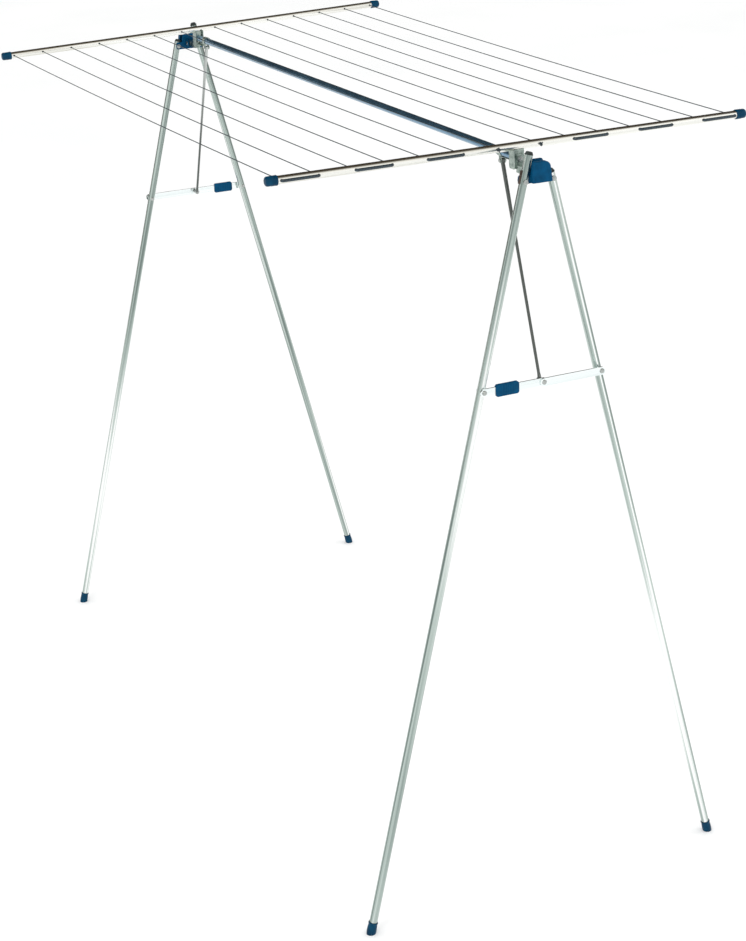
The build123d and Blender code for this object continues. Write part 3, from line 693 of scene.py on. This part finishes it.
def turn_at_arm(end, first, second):
    """The line's bends round two neighbouring holes on an arm's outer side."""
    step = 1 if second > first else -1
    points = []
    for angle in range(0, 91, 15):
        a = math.radians(angle)
        along = first + step * LINE_BEND * (1 - math.cos(a))
        points.append(arm_point(end, along, LOOP_OUT - LINE_BEND * (1 - math.sin(a))))
    for angle in range(90, -1, -15):
        a = math.radians(angle)
        along = second - step * LINE_BEND * (1 - math.cos(a))
        points.append(arm_point(end, along, LOOP_OUT - LINE_BEND * (1 - math.sin(a))))
    return points


def line_places(side):
    """Where one side's line crosses the arms, from the arm's end inward."""
    return [side * (FIRST_LINE + LINE_PITCH * index) for index in reversed(range(LINES))]


def line_path(side):
    """All the points of one side's line, from the knot at the rear arm to the one at the front."""
    places = line_places(side)
    points = [arm_point("rear", places[0], TUBE_R + 1.0 * MM)]
    for index, along in enumerate(places):
        start, stop = ("rear", "front") if index % 2 == 0 else ("front", "rear")
        a = arm_point(start, along, LOOP_OUT - LINE_BEND)
        b = arm_point(stop, along, LOOP_OUT - LINE_BEND)
        for step in range(1, RUN_STEPS):
            t = step / RUN_STEPS
            # The points crowd towards the arms, where the line leaves its hole.
            t = 0.5 - 0.5 * math.cos(math.pi * t)
            point = a.lerp(b, t)
            point.z -= LINE_SAG * 4 * t * (1 - t)
            points.append(point)
        if index + 1 < LINES:
            points += turn_at_arm(stop, along, places[index + 1])
    points.append(arm_point("front", places[-1], TUBE_R + 1.0 * MM))
    return points


print("points on one line:", len(line_path(-1)))

# %% [markdown]
# ## Skinning the line and tying its knots
# The skin is a ring of points carried along the path without twisting. The knot at each end is a real
# overhand knot, a trefoil pulled tight, with a short cut tail.


# %% Skin a tube and build the lines
def skin(mesh, points, radius, sides=10, taper=None):
    """Skins a tube over points, with U round it and V along it in metres."""
    uv = mesh.loops.layers.uv.verify()
    tangent = (points[1] - points[0]).normalized()
    normal = tangent.orthogonal().normalized()
    travelled = 0.0
    rings = []
    for index, point in enumerate(points):
        before = points[max(index - 1, 0)]
        after = points[min(index + 1, len(points) - 1)]
        new_tangent = (after - before).normalized()
        normal = tangent.rotation_difference(new_tangent) @ normal
        tangent = new_tangent
        side = tangent.cross(normal)
        travelled += (point - before).length
        size = radius * (taper[index] if taper else 1.0)
        ring = []
        for step in range(sides):
            angle = math.tau * step / sides
            ring.append(mesh.verts.new(point + (normal * math.cos(angle) + side * math.sin(angle)) * size))
        rings.append((ring, travelled))
    for (low, v_low), (high, v_high) in zip(rings, rings[1:]):
        for step in range(sides):
            after = (step + 1) % sides
            face = mesh.faces.new((low[step], low[after], high[after], high[step]))
            corners = ((step, v_low), (step + 1, v_low), (step + 1, v_high), (step, v_high))
            for loop, (u, v) in zip(face.loops, corners):
                loop[uv].uv = (u / sides, v)
    mesh.faces.new(list(reversed(rings[0][0])))
    mesh.faces.new(rings[-1][0])
    return travelled


KNOT_LOOP = 1.25 * MM
KNOT_STEPS = 72


def knot_points(centre, out, along):
    """A tight overhand knot with its axis along out."""
    across = out.cross(along).normalized()
    points = []
    for step in range(KNOT_STEPS + 1):
        t = math.tau * step / KNOT_STEPS
        x = math.sin(t) + 2 * math.sin(2 * t)
        y = math.cos(t) - 2 * math.cos(2 * t)
        z = -math.sin(3 * t)
        points.append(centre + (along * x + across * y + out * z * 1.1) * KNOT_LOOP * 0.95)
    return points


def make_line(hand):
    """One side's line with a vinyl sleeve over each outer loop and a knot at each end."""
    side = -1 if hand == "left" else 1
    mesh = bmesh.new()
    length = skin(mesh, line_path(side), LINE_R)
    places = line_places(side)
    for index, (first, second) in enumerate(zip(places, places[1:])):
        end = "front" if index % 2 == 0 else "rear"
        skin(mesh, turn_at_arm(end, first, second), LOOP_SLEEVE_R, 14)
    for end, along in (("rear", places[0]), ("front", places[-1])):
        out = Vector((0.0, 1.0 if end == "rear" else -1.0, 0.0))
        centre = arm_point(end, along, TUBE_R + 2.4 * MM)
        skin(mesh, knot_points(centre, out, Vector((side, 0.0, 0.0))), LINE_R * 0.9)
        tail = [centre, centre + (out * 1.6 - Vector((0.0, 0.0, 2.0))) * MM]
        tail.append(centre + (out * 2.0 - Vector((side * 0.6, 0.0, 4.6))) * MM)
        skin(mesh, tail, LINE_R * 0.9)
    replaced = [f"{hand}_cord"]
    piece = finish_piece(f"{hand}_line", mesh, "top_frame", LINE_VINYL, replaced, 60.0)
    print(hand, "line is", round(length, 3), "m long")
    return piece


for hand in ("left", "right"):
    make_line(hand)

# %% [markdown]
# ## Hood
# The hood is a moulded cover at the head of a trestle. It is wider at its foot, and its face is
# crowned. Its top corner is tight on the long leg's side and large on the short leg's side. It is
# built as rows of points from the outline inward, so that the crown is a true surface, and its inner
# skin makes it a real shell, open behind and below.

# %% Hood
HOOD_LOW = 1480.5 * MM
HOOD_TALL = 39.0 * MM
HOOD_FOOT_HALF = 21.5 * MM
HOOD_TOP_HALF = 16.5 * MM
HOOD_BACK = 8.8 * MM
HOOD_DEPTH = 12.0 * MM
HOOD_WALL = 2.2 * MM
CORE_HALF = 9.5 * MM
CORE_LOW = 1484.0 * MM
CORE_HIGH = 1497.0 * MM
PLATE_BACK = 11.5 * MM
CORE_SUNK = 1.5 * MM
HOOD_EDGE = 2.8 * MM
HOOD_LONG_CORNER = 4.0 * MM
HOOD_SHORT_CORNER = 12.0 * MM


def hood_side(inset, corner):
    """One side of the hood's outline, up from its foot and round its top corner."""
    foot = HOOD_FOOT_HALF - inset
    top = HOOD_TOP_HALF - inset
    high = HOOD_TALL - inset
    round_r = max(corner - inset * 0.6, 1.0 * MM)
    lean = math.atan2(foot - top, high)
    points = [(foot - (foot - top) * t, high * t) for t in (0.0, 0.04, 0.2, 0.4, 0.6)]
    middle = (top + round_r * math.tan(lean) - round_r / math.cos(lean), high - round_r)
    return points + arc(round_r, math.degrees(lean), 90, 9, middle)


def hood_outline(inset):
    """The hood's outline seen from outside, from its lower right corner round to its lower left."""
    right = hood_side(inset, HOOD_SHORT_CORNER)
    left = [(-x, z) for x, z in reversed(hood_side(inset, HOOD_LONG_CORNER))]
    return right + left


def make_hood(end):
    """The hood as a shell, with the block that passes between the legs to the head plate."""
    mesh = bmesh.new()
    profile = [(0.0, 0.0), (0.0, HOOD_DEPTH - HOOD_EDGE)]
    for x, y in arc(HOOD_EDGE, 0, 90, 6)[1:]:
        profile.append((HOOD_EDGE - x, HOOD_DEPTH - HOOD_EDGE + y))
    profile += [(8.0 * MM, HOOD_DEPTH + 0.5 * MM), (14.0 * MM, HOOD_DEPTH + 0.7 * MM)]
    under = HOOD_DEPTH - HOOD_WALL
    inner = [(HOOD_WALL, 0.0), (HOOD_WALL, under - 0.6 * MM), (6.0 * MM, under)]

    def row(inset, out):
        """One row of the hood's points, inset from its outline and pushed out from its back."""
        ring = []
        for x, z in hood_outline(inset):
            ring.append(mesh.verts.new((x, -(TRESTLE_Y + HOOD_BACK + out), HOOD_LOW + z)))
        return ring

    outer_rows = [row(inset, out) for inset, out in profile]
    inner_rows = [row(inset, out) for inset, out in inner]
    rows = list(reversed(inner_rows)) + outer_rows
    for low, high in zip(rows, rows[1:]):
        for step in range(len(low) - 1):
            mesh.faces.new((low[step], low[step + 1], high[step + 1], high[step]))
    mesh.faces.new(outer_rows[-1])
    mesh.faces.new(list(reversed(inner_rows[-1])))
    lower = [ring[0] for ring in rows] + [ring[-1] for ring in reversed(rows)]
    mesh.faces.new(lower)
    bmesh.ops.triangulate(mesh, faces=[f for f in mesh.faces if len(f.verts) > 4])
    core_low = Vector((-CORE_HALF, -(TRESTLE_Y + HOOD_BACK + HOOD_DEPTH - CORE_SUNK), CORE_LOW))
    core_high = Vector((CORE_HALF, -(TRESTLE_Y - PLATE_BACK), CORE_HIGH))
    add_block(mesh, core_low, core_high, 1.0 * MM)
    bmesh.ops.transform(mesh, matrix=turn_to_end(end), verts=mesh.verts)
    node = f"{end}_hood"
    return finish_piece(f"{end}_cover", mesh, f"{end}_head", BLUE_POLYPROPYLENE, [node])


def add_block(mesh, low, high, bevel):
    """A block between two corners with its edges rounded over."""
    middle = (low + high) / 2
    size = high - low
    made = bmesh.ops.create_cube(mesh, size=1.0)
    bmesh.ops.scale(mesh, vec=size, verts=made["verts"])
    bmesh.ops.translate(mesh, vec=middle, verts=made["verts"])
    edges = list({edge for vert in made["verts"] for edge in vert.link_edges})
    bmesh.ops.bevel(mesh, geom=edges, offset=bevel, segments=3, profile=0.5, affect="EDGES")


for end in ENDS:
    make_hood(end)
print("hoods made")

# %% [markdown]
# ## Lock sleeve
# The sleeve slides along the long link and locks the knee. It is a flat moulded box with cropped
# corners and a slot right through it for the link. It is built as a ring of outline points swept
# through the sleeve's length twice, outside and inside, with the grip ribs as steps in the outside.

# %% Lock sleeve
LINK_HALF = 128.05 * MM
LINK_OUT = 11.5 * MM
LINK_THICK = 3.0 * MM
SLEEVE_START = 24.0 * MM
SLEEVE_LENGTH = 50.0 * MM
SLEEVE_HALF_HEIGHT = 12.0 * MM
SLEEVE_HALF_THICK = 4.2 * MM
SLEEVE_CROP = 3.2 * MM
LINK_HALF_HEIGHT = 8.0 * MM
SLOT_GAP = 0.35 * MM


def rounded_rectangle(half_y, half_z, crop):
    """A rectangle with softly cropped corners, as (y, z) points."""
    points = []
    for sign_y, sign_z, start in ((1, 1, 0), (-1, 1, 90), (-1, -1, 180), (1, -1, 270)):
        centre = (sign_y * (half_y - crop), sign_z * (half_z - crop))
        points += arc(crop, start, start + 90, 5, centre)
    return points


def make_sleeve(end):
    """The lock sleeve, with grip ribs and a slot right through it for the link."""
    mesh = bmesh.new()
    start = -LINK_HALF + SLEEVE_START
    middle_y = -(TRESTLE_Y + LINK_OUT + LINK_THICK / 2)
    crop = SLEEVE_CROP
    outside = [(0.0, crop, 0.9), (0.5 * MM, crop * 0.8, 0.4), (crop * 0.8, 0.5 * MM, 0.0), (crop, 0.0, 0.0)]
    for rib in range(5):
        at_rib = (14.0 + 5.0 * rib) * MM
        outside += [(at_rib, 0.0, 0.0), (at_rib + 0.5 * MM, 0.0, 0.5)]
        outside += [(at_rib + 1.5 * MM, 0.0, 0.5), (at_rib + 2.0 * MM, 0.0, 0.0)]
    far = SLEEVE_LENGTH
    outside += [(far - crop, 0.0, 0.0), (far - crop * 0.8, 0.5 * MM, 0.0)]
    outside += [(far - 0.5 * MM, crop * 0.8, 0.4), (far, crop, 0.9)]
    rings = []
    for along, lower, thinner in outside:
        outline = rounded_rectangle(SLEEVE_HALF_THICK - thinner * MM, SLEEVE_HALF_HEIGHT - lower, 1.2 * MM)
        rings.append([mesh.verts.new((start + along, middle_y + y, SPREADER_Z + z)) for y, z in outline])
    for along in (far, 0.0):
        outline = rounded_rectangle(LINK_THICK / 2 + SLOT_GAP, LINK_HALF_HEIGHT + SLOT_GAP, 0.2 * MM)
        rings.append([mesh.verts.new((start + along, middle_y + y, SPREADER_Z + z)) for y, z in outline])
    for low, high in zip(rings, rings[1:] + rings[:1]):
        for step in range(len(low)):
            after = (step + 1) % len(low)
            mesh.faces.new((low[step], low[after], high[after], high[step]))
    bmesh.ops.transform(mesh, matrix=turn_to_end(end), verts=mesh.verts)
    node = f"{end}_lock_sleeve"
    return finish_piece(f"{end}_sleeve", mesh, f"{end}_sleeve", BLUE_POLYPROPYLENE, [node])


for end in ENDS:
    make_sleeve(end)
print("sleeves made")

# %% [markdown]
# ## Rivets
# The spreader's rivets have low domed heads and a turned collar between the leg and the link. One
# outline describes a whole rivet from head to head. The knee's rivet has an outer head only.

# %% Rivets
RIVET_R = 2.5 * MM
RIVET_HEAD_R = 5.0 * MM
RIVET_DOME = 2.0 * MM


def dome(radius, height, start, direction):
    """Outline points of a low dome that starts at its rim and ends on the axis."""
    points = []
    for step in range(7):
        angle = math.radians(90 * step / 6)
        points.append((radius * math.cos(angle), start + direction * height * math.sin(angle)))
    return points


def rivet_outline(inner, outer, low, high):
    """A rivet along its own Z from its inner dome to its outer one, with a collar from low to high."""
    points = list(reversed(dome(RIVET_HEAD_R, RIVET_DOME, inner, -1)))
    points += [(RIVET_R, inner), (RIVET_R, low), (RIVET_HEAD_R, low), (RIVET_HEAD_R, high)]
    points += [(RIVET_R, high), (RIVET_R, outer)]
    points += dome(RIVET_HEAD_R, RIVET_DOME, outer, 1)
    return points


def make_rivet(end, name, x, outline, body, node):
    """A rivet spun about an axis that runs out from the trestle at the spreader's height."""
    mesh = bmesh.new()
    place = frame_along((x, -TRESTLE_Y, SPREADER_Z), (0.0, -1.0, 0.0), up=(1.0, 0.0, 0.0))
    lathe(mesh, outline, 40, turn_to_end(end) @ place)
    return finish_piece(f"{end}_{name}", mesh, body, RIVET_ZINC, [node])


for end in ENDS:
    gap = 0.3 * MM
    inner = -TUBE_R - 0.1 * MM
    for leg, out in (("long", LINK_OUT), ("short", LINK_OUT + LINK_THICK + gap)):
        outline = rivet_outline(inner, out + LINK_THICK + gap, TUBE_R + 0.1 * MM, out - gap)
        node = f"{end}_{leg}_leg_rivet"
        make_rivet(end, f"{leg}_rivet", LEG_NAMES[leg] * LINK_HALF, outline, f"{end}_{leg}_leg", node)
    knee_start = LINK_OUT + LINK_THICK + gap
    knee = [(0.0, knee_start), (RIVET_R, knee_start), (RIVET_R, knee_start + LINK_THICK)]
    knee += dome(RIVET_HEAD_R, RIVET_DOME, knee_start + LINK_THICK, 1)
    make_rivet(end, "knee", 0.0, knee, f"{end}_short_link", f"{end}_knee_rivet")
print("rivets made")

# %% [markdown]
# ## Arm bolt
# One bolt at each end holds the beam and the arm together. Its hexagon head and washer are below the
# beam, it passes through the beam and the saddle, and its nut is inside the arm. A hexagon is a lathe
# of six sides, and its corners are eased by a cone.

# %% Arm bolts
BOLT_R = 2.5 * MM
BEAM_Z = 1510.0 * MM
NUT_LOW = 1527.23 * MM
NUT_R = 4.4 * MM
NUT_TALL = 3.0 * MM
HEAD_R = 4.3 * MM
HEAD_TALL = 2.4 * MM
WASHER_R = 4.5 * MM
WASHER_THICK = 0.6 * MM
EASED_R = 3.6 * MM


def make_arm_bolt(end):
    """The bolt, its washer and the nut inside the arm."""
    sign = 1 if end == "rear" else -1
    mesh = bmesh.new()
    bottom = BEAM_Z - TUBE_R - 0.1 * MM
    place = Matrix.Translation((0.0, sign * ARM_Y, 0.0))
    shank = [(0.0, bottom), (BOLT_R, bottom), (BOLT_R, NUT_LOW), (0.0, NUT_LOW)]
    lathe(mesh, shank, 24, place)
    seat = bottom - WASHER_THICK
    washer = [(BOLT_R, bottom), (WASHER_R, bottom), (WASHER_R, seat), (BOLT_R, seat)]
    lathe(mesh, washer, 40, place)
    head = [(0.0, seat), (HEAD_R, seat), (HEAD_R, seat - HEAD_TALL + 0.5 * MM)]
    head += [(EASED_R, seat - HEAD_TALL), (0.0, seat - HEAD_TALL)]
    lathe(mesh, head, 6, place)
    nut = [(0.0, NUT_LOW), (NUT_R, NUT_LOW), (NUT_R, NUT_LOW + NUT_TALL - 0.6 * MM)]
    nut += [(EASED_R, NUT_LOW + NUT_TALL), (0.0, NUT_LOW + NUT_TALL)]
    lathe(mesh, nut, 6, place)
    node = f"{end}_arm_bolt"
    return finish_piece(f"{end}_bolt", mesh, "top_frame", RIVET_ZINC, [node], 25.0)


for end in ENDS:
    make_arm_bolt(end)
print("bolts made")

# %% [markdown]
# ## Brace rod
# The brace is a round rod from a lug under the beam down to the knee. It is thicker towards its top,
# where it carries a turned eye, and it has a turned boss at its lower end. The rod itself is a
# skinned tube whose radius changes along it.

# %% Brace rods
ROD_R = 3.0 * MM
EYE_BORE = 2.05 * MM
EYE_R = 5.0 * MM
EYE_HALF = 3.2 * MM
BOSS_R = 5.0 * MM
BOSS_HALF = 5.0 * MM
BOSS_NECK_R = 4.0 * MM
BOSS_NECK_END = 11.2 * MM
# Places along the rod from its eye to its boss, with the rod's size there against ROD_R.
ROD_SIZES = (
    (0.004, 1.3), (0.02, 1.35), (0.12, 1.3), (0.25, 1.15), (0.4, 1.0),
    (0.5, 1.0), (0.97, 1.0), (0.985, 1.25), (1.0, 1.25),
)


def make_rod(end):
    """The rod with the eye at its top and the boss at its foot."""
    mesh = bmesh.new()
    run = ROD_FOOT - ROD_TOP
    points = [ROD_TOP + run * share for share, size in ROD_SIZES]
    sizes = [size for share, size in ROD_SIZES]
    skin(mesh, points, ROD_R, 20, sizes)
    eye = [(EYE_BORE, -EYE_HALF), (EYE_R - 0.4 * MM, -EYE_HALF), (EYE_R, -EYE_HALF + 0.5 * MM)]
    eye += [(EYE_R, EYE_HALF - 0.5 * MM), (EYE_R - 0.4 * MM, EYE_HALF), (EYE_BORE, EYE_HALF)]
    lathe(mesh, eye, 40, frame_along(ROD_TOP, (1.0, 0.0, 0.0)))
    boss = [(0.0, -BOSS_HALF), (BOSS_R - 0.6 * MM, -BOSS_HALF), (BOSS_R, -BOSS_HALF + 0.6 * MM)]
    boss += [(BOSS_R, BOSS_HALF - 0.6 * MM), (BOSS_R - 0.6 * MM, BOSS_HALF), (BOSS_NECK_R, BOSS_HALF)]
    boss += [(BOSS_NECK_R, BOSS_NECK_END), (0.0, BOSS_NECK_END)]
    lathe(mesh, boss, 40, frame_along(ROD_FOOT, (0.0, -1.0, 0.0), up=(1.0, 0.0, 0.0)))
    bmesh.ops.transform(mesh, matrix=turn_to_end(end), verts=mesh.verts)
    finish = ROD_FINISH[end]
    return finish_piece(f"{end}_rod", mesh, f"{end}_rod", finish, [f"{end}_brace_rod"])


for end in ENDS:
    make_rod(end)
print("rods made")

# %% [markdown]
# ## Rod lug
# A strap goes round the beam and carries the two ears that hold the rod's pin. From it a tail of the
# same strip runs out along the beam's underside towards the hanger. The strap is a short turned ring,
# and the ears and the tail are rounded strips joined to it.

# %% Rod lugs
LUG_R = 9.6 * MM
LUG_HALF = 7.5 * MM
EAR_IN = 3.6 * MM
EAR_OUT = 5.4 * MM
EAR_HALF = 4.6 * MM
EAR_SUNK = 0.6 * MM
TAIL_HALF = 4.0 * MM
TAIL_START = 4.0 * MM
TAIL_END = 808.0 * MM
TAIL_GAP = 0.2 * MM
TAIL_THICK = 1.5 * MM


def make_lug(end):
    """The strap round the beam with its ears and its tail."""
    mesh = bmesh.new()
    bore = TUBE_R + 0.1 * MM
    ring = [(bore, -LUG_HALF), (LUG_R - 0.4 * MM, -LUG_HALF), (LUG_R, -LUG_HALF + 0.4 * MM)]
    ring += [(LUG_R, LUG_HALF - 0.4 * MM), (LUG_R - 0.4 * MM, LUG_HALF), (bore, LUG_HALF)]
    beam_middle = (0.0, ROD_TOP.y, BEAM_Z)
    lathe(mesh, ring, 48, frame_along(beam_middle, (0.0, 1.0, 0.0), up=(1.0, 0.0, 0.0)))
    for side in (-1, 1):
        inner, outer = sorted((side * EAR_IN, side * EAR_OUT))
        low = Vector((inner, ROD_TOP.y - EAR_HALF, ROD_TOP.z - EAR_HALF))
        high = Vector((outer, ROD_TOP.y + EAR_HALF, BEAM_Z - TUBE_R + EAR_SUNK))
        add_block(mesh, low, high, 0.6 * MM)
    tail_top = BEAM_Z - TUBE_R - TAIL_GAP
    low = Vector((-TAIL_HALF, -TAIL_END, tail_top - TAIL_THICK))
    high = Vector((TAIL_HALF, ROD_TOP.y - TAIL_START, tail_top))
    add_block(mesh, low, high, 0.5 * MM)
    bmesh.ops.transform(mesh, matrix=turn_to_end(end), verts=mesh.verts)
    node = f"{end}_rod_lug"
    return finish_piece(f"{end}_lug", mesh, "top_frame", BRACKET_ZINC, [node])


for end in ENDS:
    make_lug(end)
print("rod lugs made")
